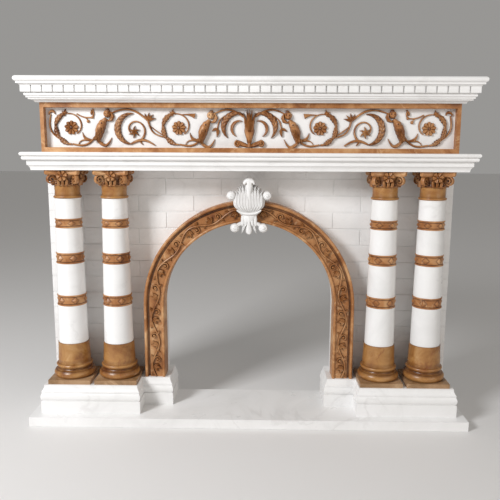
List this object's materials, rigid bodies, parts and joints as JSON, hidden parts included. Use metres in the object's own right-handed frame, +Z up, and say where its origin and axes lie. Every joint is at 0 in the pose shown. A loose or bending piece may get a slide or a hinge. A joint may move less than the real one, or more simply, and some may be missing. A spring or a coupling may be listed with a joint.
{
  "type": "fireplace mantel",
  "caption": "Marble fireplace mantel with banded columns, a round-arched opening, a carved scrollwork frieze and a moulded shelf.",
  "frame": {"origin": "on the floor, at the middle of the overall width and depth", "axes": "+X along the shelf, +Y back to the wall, +Z up"},
  "size_m": [1.832, 0.32, 1.426],
  "materials": {
    "white_marble": "polished white marble with faint grey veins",
    "brown_marble": "carved and honed brown marble with rust and cream clouds",
    "ochre_marble": "turned and polished ochre marble",
    "tan_marble": "sawn pinkish tan marble"
  },
  "bodies": {
    "root": {"hearth_slab": "white_marble", "column_pedestal_left": "white_marble", "column_pedestal_right": "white_marble", "arch_pedestal_left": "white_marble", "arch_pedestal_right": "white_marble", "brick_panel": "white_marble", "arch_surround": "brown_marble", "keystone": "white_marble", "lower_cornice": "white_marble", "frieze_frame": "brown_marble", "frieze_panel": "white_marble", "frieze_carving_left": "brown_marble", "frieze_carving_right": "brown_marble", "frieze_vase": "brown_marble", "dentil_cornice": "white_marble", "mantel_shelf": "white_marble", "plinth_left_outer": "tan_marble", "base_left_outer": "ochre_marble", "drum_1_left_outer": "white_marble", "ring_1_left_outer": "brown_marble", "drum_2_left_outer": "white_marble", "ring_2_left_outer": "brown_marble", "drum_3_left_outer": "white_marble", "ring_3_left_outer": "brown_marble", "drum_4_left_outer": "white_marble", "necking_left_outer": "ochre_marble", "capital_left_outer": "brown_marble", "plinth_left_inner": "tan_marble", "base_left_inner": "ochre_marble", "drum_1_left_inner": "white_marble", "ring_1_left_inner": "brown_marble", "drum_2_left_inner": "white_marble", "ring_2_left_inner": "brown_marble", "drum_3_left_inner": "white_marble", "ring_3_left_inner": "brown_marble", "drum_4_left_inner": "white_marble", "necking_left_inner": "ochre_marble", "capital_left_inner": "brown_marble", "plinth_right_inner": "tan_marble", "base_right_inner": "ochre_marble", "drum_1_right_inner": "white_marble", "ring_1_right_inner": "brown_marble", "drum_2_right_inner": "white_marble", "ring_2_right_inner": "brown_marble", "drum_3_right_inner": "white_marble", "ring_3_right_inner": "brown_marble", "drum_4_right_inner": "white_marble", "necking_right_inner": "ochre_marble", "capital_right_inner": "brown_marble", "plinth_right_outer": "tan_marble", "base_right_outer": "ochre_marble", "drum_1_right_outer": "white_marble", "ring_1_right_outer": "brown_marble", "drum_2_right_outer": "white_marble", "ring_2_right_outer": "brown_marble", "drum_3_right_outer": "white_marble", "ring_3_right_outer": "brown_marble", "drum_4_right_outer": "white_marble", "necking_right_outer": "ochre_marble", "capital_right_outer": "brown_marble"}
  },
  "joints": []
}
